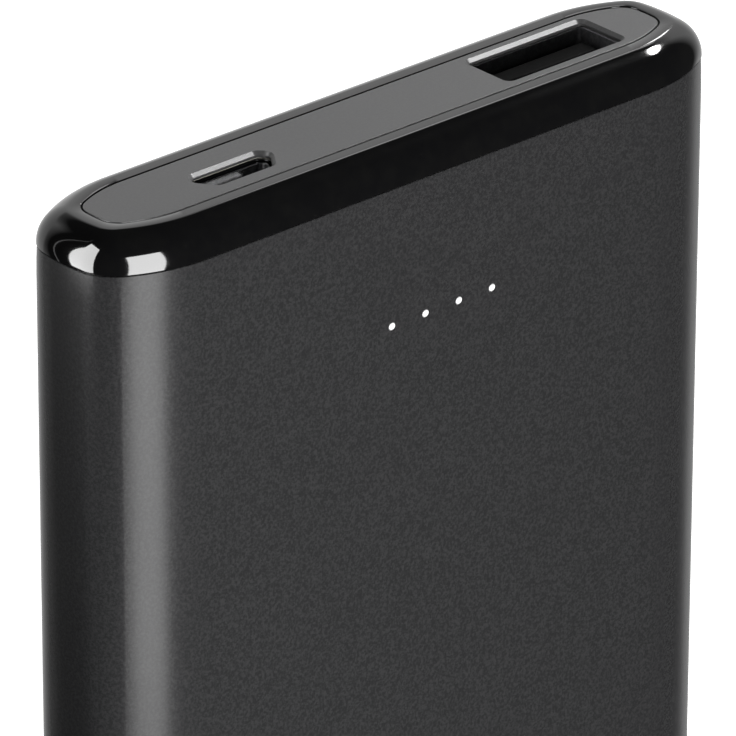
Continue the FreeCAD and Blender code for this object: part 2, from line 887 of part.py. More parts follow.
def cell_left():
    """Left side of the pouch, where its rounded corner keeps the side gap from the tray's curved wall."""
    reaches = []
    for step in range(7):
        angle = step * math.pi / 12
        y = cell_back - cell_rounding * (1 - math.sin(angle))
        reaches.append(half_width_at(tray_inset, y) + cell_rounding * (1 - math.cos(angle)))
    return cell_side_gap - min(reaches)


def battery_cell():
    cell = block((cell_left(), cell_right()), (cell_back - cell_thickness, cell_back),
                 (cell_low(), cell_high()))
    sides = [edge for edge in cell.Edges if edge.BoundBox.ZLength > 5]
    cell = cell.makeFillet(cell_rounding, sides)
    ends = [edge for edge in cell.Edges if edge.BoundBox.ZLength < 0.01]
    return cell.makeFillet(cell_end_rounding, ends)


def cell_tape():
    return block((cell_left() + foam_margin, cell_right() - foam_margin),
                 (tray_back - cell_tape_thickness, tray_back),
                 (cell_low() + cell_tape_margin, cell_high() - cell_tape_margin))


def cell_foam():
    """Soft pad that lets the pouch swell without touching the sleeve."""
    face = cell_back - cell_thickness
    return block((cell_left() + foam_margin, cell_right() - foam_margin), (foam_gap - sleeve_inside, face),
                 (cell_low() + foam_margin, cell_high() - foam_margin))


def cell_board():
    z = cell_high() + cell_board_lift
    middle = z + cell_board_thickness / 2
    return slab(0, cell_board_y, middle, cell_board_width, cell_board_depth, cell_board_thickness)


def cell_tabs():
    z = cell_high() + cell_board_lift / 2
    size = (tab_width, tab_thickness, cell_board_lift)
    return Part.Compound([slab(side * tab_spacing / 2, cell_board_y, z, *size)
                          for side in (-1, 1)])


def tangent_path(points):
    """Straight runs joined by arcs; each arc is as large as its two runs allow."""
    edges = []
    start = points[0]
    for before, here, after in zip(points, points[1:], points[2:]):
        back = before - here
        ahead = after - here
        half_turn = (math.pi - back.getAngle(ahead)) / 2
        reach = lead_bend_share * min(back.Length, ahead.Length)
        radius = reach / math.tan(half_turn)
        back.normalize()
        ahead.normalize()
        inward = back + ahead
        inward.normalize()
        first = here + back * reach
        last = here + ahead * reach
        middle = here + inward * (radius / math.cos(half_turn) - radius)
        edges.append(Part.LineSegment(start, first).toShape())
        edges.append(Part.Arc(first, middle, last).toShape())
        start = last
    edges.append(Part.LineSegment(start, points[-1]).toShape())
    return Part.Wire(edges)


def cell_lead(side):
    """Insulated lead from the cell's own board up to a pad on the back of the main board."""
    x = side * lead_spacing / 2
    start = cell_high() + cell_board_lift + cell_board_thickness
    level = board_back + lead_diameter / 2
    knee, elbow, end = (start + rise for rise in lead_rises)
    path = tangent_path([V(x, cell_board_y, start), V(x, cell_board_y, knee),
                         V(x, level, elbow), V(x, level, end)])
    section = Part.Wire(Part.makeCircle(lead_diameter / 2, V(x, cell_board_y, start), V(0, 0, 1)))
    return path.makePipeShell([section], True, False)


def build():
    screws = [countersunk_screw(x) for x in cap_screw_places()]
    pieces = {
        "case_sleeve": case_sleeve(),
        "top_cap": top_cap(),
        "top_plate": top_plate(),
        "top_plate_tape": plate_tape(True),
        "top_cap_screws": Part.Compound(screws),
        "bottom_cap": turned_over(cap_body()),
        "bottom_plate": turned_over(plain_plate()),
        "bottom_plate_tape": turned_over(plate_tape(False)),
        "bottom_cap_screws": Part.Compound([turned_over(screw) for screw in screws]),
        "inner_frame": inner_frame(),
        "main_board": main_board(),
        "board_screws": board_screws(),
        "board_film": board_film(),
        "usb_a_shell": usb_a_shell(),
        "usb_a_tongue": usb_a_tongue(),
        "usb_a_contacts": usb_a_contacts(),
        "micro_usb_shell": micro_shell(),
        "micro_usb_tongue": micro_tongue(),
        "micro_usb_contacts": micro_contacts(),
        "power_inductor": power_inductor(),
        "controller_chip": controller_chip(),
        "charger_chip": charger_chip(),
        "mosfets": mosfets(),
        "capacitors": capacitors(),
        "resistors": resistors(),
        "indicator_leds": indicator_leds(),
        "light_guide": light_guide(),
        "light_baffle": light_baffle(),
        "battery_cell": battery_cell(),
        "cell_tape": cell_tape(),
        "cell_foam": cell_foam(),
        "cell_board": cell_board(),
        "cell_tabs": cell_tabs(),
        "positive_lead": cell_lead(1),
        "negative_lead": cell_lead(-1),
        "power_button": power_button(),
        "switch_body": switch_body(),
        "switch_cover": switch_cover(),
        "switch_plunger": switch_plunger(),
        "switch_dome": switch_dome(),
    }
    os.makedirs("parts", exist_ok=True)
    for name, shape in pieces.items():
        box = shape.BoundBox
        print(name, "solids", len(shape.Solids), "valid", shape.isValid(), "volume", round(shape.Volume, 2),
              [round(value, 2) for value in (box.XMin, box.XMax, box.YMin, box.YMax, box.ZMin, box.ZMax)])
        shape.exportStep(os.path.join("parts", name + ".step"))


build()
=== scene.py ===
import json
import math

import bmesh
import bpy
from mathutils import Euler, Matrix, Vector, noise


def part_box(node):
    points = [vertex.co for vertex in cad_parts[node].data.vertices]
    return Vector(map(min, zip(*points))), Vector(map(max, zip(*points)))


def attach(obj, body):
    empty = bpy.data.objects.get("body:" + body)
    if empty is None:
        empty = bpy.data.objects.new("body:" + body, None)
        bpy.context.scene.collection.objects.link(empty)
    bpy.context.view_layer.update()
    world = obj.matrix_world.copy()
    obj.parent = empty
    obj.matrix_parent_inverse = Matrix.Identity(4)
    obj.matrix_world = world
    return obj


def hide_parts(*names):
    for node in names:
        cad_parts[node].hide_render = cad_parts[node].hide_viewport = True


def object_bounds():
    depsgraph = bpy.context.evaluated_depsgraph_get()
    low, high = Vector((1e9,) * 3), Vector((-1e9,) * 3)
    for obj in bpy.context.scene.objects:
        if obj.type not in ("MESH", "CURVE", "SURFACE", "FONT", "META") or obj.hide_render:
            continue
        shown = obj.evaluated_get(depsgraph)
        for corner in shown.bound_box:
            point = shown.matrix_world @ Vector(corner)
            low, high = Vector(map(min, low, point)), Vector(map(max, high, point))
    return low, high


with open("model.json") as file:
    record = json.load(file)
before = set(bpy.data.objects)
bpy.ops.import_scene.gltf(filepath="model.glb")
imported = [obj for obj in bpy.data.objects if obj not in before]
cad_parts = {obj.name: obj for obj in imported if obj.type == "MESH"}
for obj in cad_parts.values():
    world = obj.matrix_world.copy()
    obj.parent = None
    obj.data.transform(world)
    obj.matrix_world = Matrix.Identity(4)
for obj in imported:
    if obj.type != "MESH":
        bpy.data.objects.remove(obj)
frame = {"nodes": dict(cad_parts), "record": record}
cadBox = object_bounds()

mm = 0.001
nearly = 1e-6
bodyHigh = cadBox[1]
halfWidth = bodyHigh.x
halfDepth = bodyHigh.y
topZ = bodyHigh.z
beyond = 1.2  # cutters reach this many times past the body's half size
print("frame loaded:", len(frame["nodes"]), "nodes")

# The outline is an oval: round ends, small corner arcs and wide shoulders that run into the flat faces.
outline = {
    "endRadius": 16.4 * mm,
    "shoulderRadius": 14.2 * mm,
    "shoulderLength": 9.24 * mm,
    "cornerRadius": 3.8 * mm,
    "endSteps": 18,
    "cornerSteps": 16,
    "shoulderSteps": 12,
}


# Centres of the end, corner and shoulder arcs.
def arcCentres(inset, cornerRadius):
    end = Vector((halfWidth - outline["endRadius"], 0))
    shoulder = Vector((halfWidth - outline["shoulderLength"], halfDepth - outline["shoulderRadius"]))
    endReach = outline["endRadius"] - inset - cornerRadius
    shoulderReach = outline["shoulderRadius"] - inset - cornerRadius
    step = shoulder - end
    along = (step.length_squared + endReach ** 2 - shoulderReach ** 2) / (2 * step.length)
    aside = math.sqrt(endReach ** 2 - along ** 2)
    unit = step.normalized()
    corner = end + unit * along + Vector((-unit.y, unit.x)) * aside
    return end, corner, shoulder


# A closed ring of edges along the body's outline, drawn inset.
def ovalRing(bm, inset, z, cornerRadius=None):
    if cornerRadius is None:
        cornerRadius = outline["cornerRadius"] - inset
    end, corner, shoulder = arcCentres(inset, cornerRadius)
    first = (corner - end).to_2d()
    second = (corner - shoulder).to_2d()
    endTurn = math.atan2(first.y, first.x)
    cornerTurn = math.atan2(second.y, second.x) - endTurn
    shoulderTurn = math.pi / 2 - endTurn - cornerTurn
    tip = bm.verts.new((halfWidth - inset, 0, z))
    made = [tip]
    last = tip
    for centre, turn, steps in (
        (end, endTurn, outline["endSteps"]),
        (corner, cornerTurn, outline["cornerSteps"]),
        (shoulder, shoulderTurn, outline["shoulderSteps"]),
    ):
        spun = bmesh.ops.spin(bm, geom=[last], cent=(centre.x, centre.y, z), axis=(0, 0, 1), angle=turn,
                              steps=steps)
        last = next(item for item in spun["geom_last"] if isinstance(item, bmesh.types.BMVert))
    middle = bmesh.ops.extrude_vert_indiv(bm, verts=[last])["verts"][0]
    middle.co = (0, halfDepth - inset, z)
    edges = walk(tip)
    for axis in ("X", "Y"):
        geom = edges + ringVerts(edges)
        bmesh.ops.mirror(bm, geom=geom, matrix=Matrix.Identity(4), merge_dist=nearly, axis=axis)
        edges = walk(tip)
    return edges


# Every edge joined to a vertex.
def walk(start):
    seen = set()
    queue = [start]
    while queue:
        for edge in queue.pop().link_edges:
            if edge not in seen:
                seen.add(edge)
                queue.extend(edge.verts)
    return list(seen)


def ringVerts(edges):
    return list({vert for edge in edges for vert in edge.verts})


holdApart = Vector((0, 0, 0.3))


# A band of faces between two rings, which are held apart while they are joined so that they don't twist.
def band(bm, first, second):
    verts = ringVerts(second)
    bmesh.ops.translate(bm, verts=verts, vec=holdApart)
    bmesh.ops.bridge_loops(bm, edges=first + second)
    bmesh.ops.translate(bm, verts=verts, vec=-holdApart)


def stack(bm, rings):
    for first, second in zip(rings, rings[1:]):
        band(bm, first, second)


# A flat face area between one outer ring and any rings inside it.
def fillFlat(bm, edges):
    return [item for item in bmesh.ops.triangle_fill(bm, use_beauty=True, edges=edges)["geom"]
            if isinstance(item, bmesh.types.BMFace)]


# Turns the working mesh into a finished object on its body.
def makePiece(bm, name, body, slotName, nodes, sharpAngle=32):
    bmesh.ops.remove_doubles(bm, verts=bm.verts[:], dist=1e-7)
    bmesh.ops.recalc_face_normals(bm, faces=bm.faces[:])
    mesh = bpy.data.meshes.new(name)
    bm.to_mesh(mesh)
    bm.free()
    mesh.materials.append(materialFor[slotName])
    for face in mesh.polygons:
        face.use_smooth = True
    mesh.set_sharp_from_angle(angle=math.radians(sharpAngle))
    piece = bpy.data.objects.new(name, mesh)
    bpy.context.scene.collection.objects.link(piece)
    weighted = piece.modifiers.new("evenNormals", "WEIGHTED_NORMAL")
    weighted.keep_sharp = True
    weighted.weight = 80
    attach(piece, body)
    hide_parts(*nodes)
    return piece


def looseObject(bm, name):
    bmesh.ops.recalc_face_normals(bm, faces=bm.faces[:])
    mesh = bpy.data.meshes.new(name)
    bm.to_mesh(mesh)
    bm.free()
    loose = bpy.data.objects.new(name, mesh)
    bpy.context.scene.collection.objects.link(loose)
    return loose


# Cuts, joins or keeps the shared part of two loose objects; the result stays in the first.
def combine(target, cutter, operation):
    boolean = target.modifiers.new("combine", "BOOLEAN")
    boolean.operation = operation
    boolean.solver = "EXACT"
    boolean.object = cutter
    graph = bpy.context.evaluated_depsgraph_get()
    mesh = bpy.data.meshes.new_from_object(target.evaluated_get(graph))
    target.modifiers.clear()
    target.data = mesh
    bpy.data.objects.remove(cutter)
    return target


# The mesh of a loose object, which is then removed.
def takeMesh(loose):
    bm = bmesh.new()
    bm.from_mesh(loose.data)
    bpy.data.objects.remove(loose)
    return bm


def ovalSolid(inset, low, high, name):
    bm = bmesh.new()
    rings = [ovalRing(bm, inset, low), ovalRing(bm, inset, high)]
    stack(bm, rings)
    for ring in rings:
        bmesh.ops.edgeloop_fill(bm, edges=ring)
    return looseObject(bm, name)


def addCylinder(bm, radius, start, end, segments=64):
    start = Vector(start)
    step = Vector(end) - start
    turn = step.to_track_quat("Z", "Y").to_matrix().to_4x4()
    place = Matrix.Translation(start + step / 2) @ turn
    return bmesh.ops.create_cone(bm, cap_ends=True, cap_tris=False, segments=segments, radius1=radius,
                                 radius2=radius, depth=step.length, matrix=place)["verts"]


# A block between two corners.
def addBlock(bm, low, high):
    low = Vector(low)
    high = Vector(high)
    size = high - low
    place = Matrix.Translation((low + high) / 2) @ Matrix.Diagonal((size.x, size.y, size.z, 1))
    return bmesh.ops.create_cube(bm, size=1, matrix=place)["verts"]


def cylinderObject(radius, start, end, name, segments=64):
    bm = bmesh.new()
    addCylinder(bm, radius, start, end, segments)
    return looseObject(bm, name)


def edgesOf(verts):
    return list({edge for vert in verts for edge in vert.link_edges})


def softenEdges(bm, verts, amount, segments=2):
    bmesh.ops.bevel(bm, geom=edgesOf(verts), offset=amount, affect="EDGES", segments=segments, profile=0.5,
                    material=-1)


def newGroup(name, inputs, outputs):
    group = bpy.data.node_groups.new(name, "ShaderNodeTree")
    for label, kind, value in inputs:
        socket = group.interface.new_socket(name=label, in_out="INPUT", socket_type=kind)
        socket.default_value = value
    for label, kind in outputs:
        group.interface.new_socket(name=label, in_out="OUTPUT", socket_type=kind)
    start = group.nodes.new("NodeGroupInput")
    end = group.nodes.new("NodeGroupOutput")
    return group, start, end


def addMath(tree, operation, first, second):
    node = tree.nodes.new("ShaderNodeMath")
    node.operation = operation
    for index, value in enumerate((first, second)):
        if isinstance(value, (int, float)):
            node.inputs[index].default_value = value
        else:
            tree.links.new(value, node.inputs[index])
    return node.outputs[0]


def addNoise(tree, position, scale, detail, roughness=0.5):
    node = tree.nodes.new("ShaderNodeTexNoise")
    node.inputs["Detail"].default_value = detail
    node.inputs["Roughness"].default_value = roughness
    tree.links.new(position, node.inputs["Vector"])
    if isinstance(scale, (int, float)):
        node.inputs["Scale"].default_value = scale
    else:
        tree.links.new(scale, node.inputs["Scale"])
    return node.outputs["Fac"]


def addRange(tree, value, low, high, toLow, toHigh):
    node = tree.nodes.new("ShaderNodeMapRange")
    tree.links.new(value, node.inputs["Value"])
    for label, given in (("From Min", low), ("From Max", high), ("To Min", toLow), ("To Max", toHigh)):
        if isinstance(given, (int, float)):
            node.inputs[label].default_value = given
        else:
            tree.links.new(given, node.inputs[label])
    return node.outputs["Result"]


grainLook = {"perMetre": 2500.0, "fineness": 2.7, "coarse": 0.7, "fine": 0.3, "peaks": (0.42, 0.62)}
handlingLook = {
    "smearsPerMetre": 60.0,
    "smears": (0.35, 0.7),
    "specksPerMetre": 3800.0,
    "specks": (0.8, 0.86),
}
brushedLook = {"linesPerMetre": 6000.0, "stretch": (0.02, 1.0, 1.0)}


# Fine moulded or blasted grain: a height, and a mask of its peaks.
def buildGrain():
    group, start, end = newGroup(
        "fineGrain",
        [("Position", "NodeSocketVector", (0, 0, 0)),
         ("Grains per metre", "NodeSocketFloat", grainLook["perMetre"])],
        [("Height", "NodeSocketFloat"), ("Peaks", "NodeSocketFloat")],
    )
    position = start.outputs["Position"]
    scale = start.outputs["Grains per metre"]
    coarse = addNoise(group, position, scale, 2.0, 0.6)
    fine = addNoise(group, position, addMath(group, "MULTIPLY", scale, grainLook["fineness"]), 1.0)
    height = addMath(group, "ADD", addMath(group, "MULTIPLY", coarse, grainLook["coarse"]),
                     addMath(group, "MULTIPLY", fine, grainLook["fine"]))
    peaks = addRange(group, height, *grainLook["peaks"], 0.0, 1.0)
    group.links.new(height, end.inputs["Height"])
    group.links.new(peaks, end.inputs["Peaks"])
    return group


# Faint smears and dust that come from handling: a slow mask and a speck mask.
def buildHandling():
    group, start, end = newGroup(
        "handling",
        [("Position", "NodeSocketVector", (0, 0, 0)),
         ("Smears per metre", "NodeSocketFloat", handlingLook["smearsPerMetre"])],
        [("Smears", "NodeSocketFloat"), ("Specks", "NodeSocketFloat")],
    )
    position = start.outputs["Position"]
    smears = addNoise(group, position, start.outputs["Smears per metre"], 4.0, 0.55)
    specks = addNoise(group, position, handlingLook["specksPerMetre"], 0.0)
    group.links.new(addRange(group, smears, *handlingLook["smears"], 0.0, 1.0), end.inputs["Smears"])
    group.links.new(addRange(group, specks, *handlingLook["specks"], 0.0, 1.0), end.inputs["Specks"])
    return group


# Fine parallel lines along X, as left by brushing or rolling.
def buildBrushing():
    group, start, end = newGroup(
        "brushing",
        [("Position", "NodeSocketVector", (0, 0, 0)),
         ("Stretch", "NodeSocketVector", brushedLook["stretch"]),
         ("Lines per metre", "NodeSocketFloat", brushedLook["linesPerMetre"])],
        [("Height", "NodeSocketFloat")],
    )
    stretch = group.nodes.new("ShaderNodeVectorMath")
    stretch.operation = "MULTIPLY"
    group.links.new(start.outputs["Position"], stretch.inputs[0])
    group.links.new(start.outputs["Stretch"], stretch.inputs[1])
    lines = addNoise(group, stretch.outputs["Vector"], start.outputs["Lines per metre"], 3.0, 0.65)
    group.links.new(lines, end.inputs["Height"])
    return group


grainGroup = buildGrain()
handlingGroup = buildHandling()
brushingGroup = buildBrushing()


def useGroup(tree, group, values):
    node = tree.nodes.new("ShaderNodeGroup")
    node.node_tree = group
    for label, value in values.items():
        if isinstance(value, (int, float, tuple)):
            node.inputs[label].default_value = value
        else:
            tree.links.new(value, node.inputs[label])
    return node.outputs


# A finish with fine grain, handling marks and a second tone that shows in the grain or the smears.
def surface(name, look):
    material = bpy.data.materials.new(name)
    material.use_nodes = True
    tree = material.node_tree
    shader = tree.nodes["Principled BSDF"]
    place = tree.nodes.new("ShaderNodeTexCoord").outputs["Object"]
    grain = useGroup(tree, grainGroup, {"Position": place, "Grains per metre": look["grains"]})
    smearsPerMetre = look.get("smears", handlingLook["smearsPerMetre"])
    marks = useGroup(tree, handlingGroup, {"Position": place, "Smears per metre": smearsPerMetre})
    height = grain["Height"]
    if "brushed" in look:
        lines = useGroup(tree, brushingGroup, {"Position": place, "Stretch": look["brushed"]})
        height = lines["Height"]
    tone = tree.nodes.new("ShaderNodeMix")
    tone.data_type = "RGBA"
    tone.inputs["A"].default_value = (*look["colour"], 1)
    tone.inputs["B"].default_value = (*look["second"], 1)
    tree.links.new(grain["Peaks"], tone.inputs["Factor"])
    dusty = tree.nodes.new("ShaderNodeMix")
    dusty.data_type = "RGBA"
    dusty.inputs["B"].default_value = (*look.get("dust", look["second"]), 1)
    tree.links.new(tone.outputs["Result"], dusty.inputs["A"])
    tree.links.new(marks["Specks"], dusty.inputs["Factor"])
    tree.links.new(dusty.outputs["Result"], shader.inputs["Base Color"])
    low, high = look["roughness"]
    tree.links.new(addRange(tree, marks["Smears"], 0.0, 1.0, low, high), shader.inputs["Roughness"])
    bump = tree.nodes.new("ShaderNodeBump")
    bump.inputs["Strength"].default_value = look["bump"]
    bump.inputs["Distance"].default_value = look["depth"]
    tree.links.new(height, bump.inputs["Height"])
    tree.links.new(bump.outputs["Normal"], shader.inputs["Normal"])
    shader.inputs["Metallic"].default_value = look.get("metallic", 0.0)
    shader.inputs["IOR"].default_value = 1.5
    shader.inputs["Specular IOR Level"].default_value = look.get("specular", 0.5)
    if "glow" in look:
        shader.inputs["Emission Color"].default_value = (*look["glowColour"], 1)
        shader.inputs["Emission Strength"].default_value = look["glow"]
    return material


finishes = {
    "sleeve_matte": {
        "colour": (0.014, 0.014, 0.0145), "second": (0.024, 0.024, 0.0245), "grains": 4200.0,
        "roughness": (0.22, 0.26), "bump": 0.3, "depth": 0.00002, "smears": 35.0, "specular": 0.13,
    },
    "cap_gloss": {
        "colour": (0.0022, 0.0022, 0.0024), "second": (0.003, 0.003, 0.003), "grains": 400.0,
        "roughness": (0.05, 0.07), "bump": 0.02, "depth": 0.000005, "dust": (0.004, 0.004, 0.004),
    },
    "plate_satin": {
        "colour": (0.05, 0.05, 0.051), "second": (0.062, 0.062, 0.063), "grains": 4200.0,
        "roughness": (0.3, 0.36), "bump": 0.25, "depth": 0.00001,
    },
    "adhesive": {
        "colour": (0.45, 0.43, 0.38), "second": (0.6, 0.58, 0.52), "grains": 900.0,
        "roughness": (0.45, 0.65), "bump": 0.3, "depth": 0.00003,
    },
    "screw_steel": {
        "colour": (0.38, 0.38, 0.39), "second": (0.5, 0.5, 0.51), "grains": 1800.0, "metallic": 1.0,
        "roughness": (0.25, 0.4), "bump": 0.3, "depth": 0.00002,
    },
    "frame_plastic": {
        "colour": (0.022, 0.022, 0.024), "second": (0.036, 0.036, 0.038), "grains": 1500.0,
        "roughness": (0.5, 0.62), "bump": 0.4, "depth": 0.00004,
    },
    "board_mask": {
        "colour": (0.008, 0.09, 0.04), "second": (0.02, 0.16, 0.08), "grains": 500.0,
        "roughness": (0.25, 0.38), "bump": 0.35, "depth": 0.00004,
    },
    "film": {
        "colour": (0.55, 0.36, 0.08), "second": (0.7, 0.5, 0.16), "grains": 300.0,
        "roughness": (0.2, 0.35), "bump": 0.2, "depth": 0.00003,
    },
    # The port shells' steel colour is painted shade: it is darkened far below bare steel so that the port
    # cavity reads black.
    "shell_steel": {
        "colour": (0.1, 0.1, 0.105), "second": (0.15, 0.15, 0.155), "grains": 2200.0, "metallic": 1.0,
        "roughness": (0.24, 0.36), "bump": 0.3, "depth": 0.00002, "brushed": (1.0, 1.0, 0.03),
    },
    # The tongue's colour is partly its own black plastic and partly painted shade of the port cavity,
    # darkened further and given little specular.
    "tongue_black": {
        "colour": (0.004, 0.004, 0.004), "second": (0.007, 0.007, 0.007), "grains": 2200.0,
        "roughness": (0.4, 0.5), "bump": 0.3, "depth": 0.00003, "specular": 0.02,
    },
    "tongue_white": {
        "colour": (0.8, 0.8, 0.79), "second": (0.88, 0.88, 0.87), "grains": 2200.0,
        "roughness": (0.3, 0.4), "bump": 0.2, "depth": 0.00002,
    },
    "contact_gold": {
        "colour": (0.72, 0.52, 0.2), "second": (0.86, 0.68, 0.34), "grains": 2600.0, "metallic": 1.0,
        "roughness": (0.18, 0.3), "bump": 0.2, "depth": 0.00001,
    },
    "ferrite": {
        "colour": (0.07, 0.07, 0.075), "second": (0.13, 0.13, 0.14), "grains": 2600.0,
        "roughness": (0.5, 0.7), "bump": 0.6, "depth": 0.00005,
    },
    "chip_black": {
        "colour": (0.018, 0.018, 0.02), "second": (0.034, 0.034, 0.036), "grains": 3200.0,
        "roughness": (0.5, 0.65), "bump": 0.5, "depth": 0.00003,
    },
    "capacitor_tan": {
        "colour": (0.38, 0.25, 0.14), "second": (0.54, 0.38, 0.24), "grains": 2600.0,
        "roughness": (0.35, 0.5), "bump": 0.4, "depth": 0.00003,
    },
    "led_white": {
        "colour": (0.8, 0.8, 0.72), "second": (0.9, 0.9, 0.82), "grains": 2000.0,
        "roughness": (0.3, 0.4), "bump": 0.2, "depth": 0.00002, "glow": 2.0, "glowColour": (1, 1, 1),
    },
    "light_clear": {
        "colour": (0.12, 0.12, 0.12), "second": (0.16, 0.16, 0.16), "grains": 2000.0,
        "roughness": (0.3, 0.42), "bump": 0.2, "depth": 0.00002, "glow": 2.4, "glowColour": (1, 1, 1),
    },
    "cell_foil": {
        "colour": (0.5, 0.51, 0.53), "second": (0.66, 0.67, 0.69), "grains": 350.0, "metallic": 0.9,
        "roughness": (0.28, 0.45), "bump": 0.5, "depth": 0.00012,
    },
    "foam": {
        "colour": (0.03, 0.03, 0.03), "second": (0.07, 0.07, 0.07), "grains": 1400.0,
        "roughness": (0.85, 0.95), "bump": 1.0, "depth": 0.00015,
    },
    "tab_nickel": {
        "colour": (0.55, 0.53, 0.49), "second": (0.68, 0.66, 0.62), "grains": 1800.0, "metallic": 1.0,
        "roughness": (0.25, 0.4), "bump": 0.2, "depth": 0.00002, "brushed": (1.0, 1.0, 0.03),
    },
    "lead_red": {
        "colour": (0.45, 0.012, 0.012), "second": (0.6, 0.03, 0.03), "grains": 900.0,
        "roughness": (0.4, 0.5), "bump": 0.2, "depth": 0.00003,
    },
    "lead_black": {
        "colour": (0.014, 0.014, 0.014), "second": (0.028, 0.028, 0.028), "grains": 900.0,
        "roughness": (0.4, 0.5), "bump": 0.2, "depth": 0.00003,
    },
    "button_plastic": {
        "colour": (0.02, 0.02, 0.021), "second": (0.034, 0.034, 0.035), "grains": 3000.0,
        "roughness": (0.3, 0.38), "bump": 0.4, "depth": 0.00003,
    },
    "switch_plastic": {
        "colour": (0.03, 0.03, 0.03), "second": (0.05, 0.05, 0.05), "grains": 1800.0,
        "roughness": (0.45, 0.6), "bump": 0.4, "depth": 0.00003,
    },
    "dome_steel": {
        "colour": (0.6, 0.6, 0.6), "second": (0.72, 0.72, 0.72), "grains": 1500.0, "metallic": 1.0,
        "roughness": (0.2, 0.3), "bump": 0.2, "depth": 0.00002,
    },
}
materialFor = {name: surface(name, look) for name, look in finishes.items()}

for part in frame["record"]["subparts"]:
    node = frame["nodes"][part["node"]]
    node.data.materials.clear()
    node.data.materials.append(materialFor[part["material_slot"]])
print("finishes made:", len(materialFor))


usbPort = {
    "centre": sum(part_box("usb_a_tongue"), Vector()) / 2,
    "corners": [(6.3, 2.5), (-6.3, 2.5), (-6.3, -2.5), (6.3, -2.5)],
    "rounding": 0.45,
    "roundingGrowth": 1.0,
    "wall": 0.3,
    "sight": 0.02,
    "holeGap": 0.42,
}
microPort = {
    "centre": sum(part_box("micro_usb_shell"), Vector()) / 2,
    "corners": [(2.6, -0.93), (3.5, 0.31), (3.5, 0.59), (3.18, 0.93),
                (-3.18, 0.93), (-3.5, 0.59), (-3.5, 0.31), (-2.6, -0.93)],
    "rounding": 0.12,
    "roundingGrowth": 0.4,
    "wall": 0.25,
    "sight": 0.36,
    "holeGap": 0.37,
}


# The port's corners, moved out so that each side moves by the same amount.
def grownCorners(port, grow):
    corners = [Vector(corner) for corner in port["corners"]]
    grown = []
    for index, corner in enumerate(corners):
        before = (corner - corners[index - 1]).normalized()
        after = (corners[(index + 1) % len(corners)] - corner).normalized()
        firstOut = Vector((before.y, -before.x))
        secondOut = Vector((after.y, -after.x))
        grown.append(corner + (firstOut + secondOut) * grow / (1 + firstOut.dot(secondOut)))
    return grown


# A closed ring of edges along a port's outline, with rounded corners; grow is in millimetres.
def portRing(bm, port, grow, z):
    centre = port["centre"]
    standing = set(bm.verts)
    corners = [bm.verts.new((centre.x + corner.x * mm, centre.y + corner.y * mm, z))
               for corner in grownCorners(port, grow)]
    bm.faces.new(corners)
    rounding = port["rounding"] + grow * port["roundingGrowth"]
    bmesh.ops.bevel(bm, geom=corners, offset=rounding * mm, offset_type="OFFSET", affect="VERTICES",
                    segments=8, profile=0.5, material=-1, clamp_overlap=True)
    verts = [vert for vert in bm.verts if vert not in standing]
    faces = list({face for vert in verts for face in vert.link_faces})
    bmesh.ops.delete(bm, geom=faces, context="FACES_ONLY")
    bmesh.ops.remove_doubles(bm, verts=verts, dist=2e-6)
    return edgesOf([vert for vert in verts if vert.is_valid])


# counter-clockwise corners, so that growing moves outwards
for port in (usbPort, microPort):
    following = port["corners"][1:] + port["corners"][:1]
    area = sum(a[0] * b[1] - b[0] * a[1] for a, b in zip(port["corners"], following))
    if area < 0:
        port["corners"].reverse()


cap = {
    "roll": 3.0 * mm,
    "rimInset": 2.34 * mm,
    "rimWidth": 1.0 * mm,
    "edgeSoftening": 0.10 * mm,
    "innerSoftening": 0.06 * mm,
    "recessCorner": 1.86 * mm,
    "recessDepth": 0.6 * mm,
    "roof": 1.0 * mm,
    "spigotInset": 1.3 * mm,
    "cavityInset": 2.3 * mm,
    "spigotDepth": 3.0 * mm,
    "rollSteps": 30,
    "screwHole": 1.27 * mm,
    "screwHead": 1.25 * mm,
    "spigotChamfer": 0.1 * mm,
    "seamEdge": 0.05 * mm,
}
edgePoint = (0.35, 0.07)  # share of a softened edge, inwards and down, where its middle point lies
innerPoint = 0.3
rollAngle = math.acos(1 - cap["rimInset"] / cap["roll"])
seamZ = topZ - cap["roll"] * math.sin(rollAngle)
recessInset = cap["rimInset"] + cap["rimWidth"]
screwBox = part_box("top_cap_screws")
screwReach = screwBox[1].x - cap["screwHead"]


# Inset, height and own corner radius of each ring, from the spigot round to the recess floor.
def capProfile():
    low = seamZ - cap["spigotDepth"]
    bevel = cap["spigotChamfer"]
    seamEdge = cap["seamEdge"]
    rings = [(cap["cavityInset"], low, None), (cap["spigotInset"] + bevel, low, None),
             (cap["spigotInset"], low + bevel, None), (cap["spigotInset"], seamZ, None),
             (seamEdge, seamZ, None), (0.0, seamZ + seamEdge, None)]
    soft = cap["edgeSoftening"]
    steps = cap["rollSteps"]
    softAngle = soft / cap["roll"]
    for step in range(1, steps + 1):
        angle = (rollAngle - softAngle) * step / steps
        rings.append((cap["roll"] * (1 - math.cos(angle)), seamZ + cap["roll"] * math.sin(angle), None))
    rings.append((cap["rimInset"] + soft * edgePoint[0], topZ - soft * edgePoint[1], None))
    rings.append((cap["rimInset"] + soft, topZ, None))
    inner = cap["innerSoftening"]
    rings.append((recessInset - inner, topZ, cap["recessCorner"] + inner))
    part = inner * innerPoint
    rings.append((recessInset - part, topZ - part, cap["recessCorner"] + part))
    rings.append((recessInset, topZ - inner, cap["recessCorner"]))
    rings.append((recessInset, topZ - cap["recessDepth"], cap["recessCorner"]))
    return rings


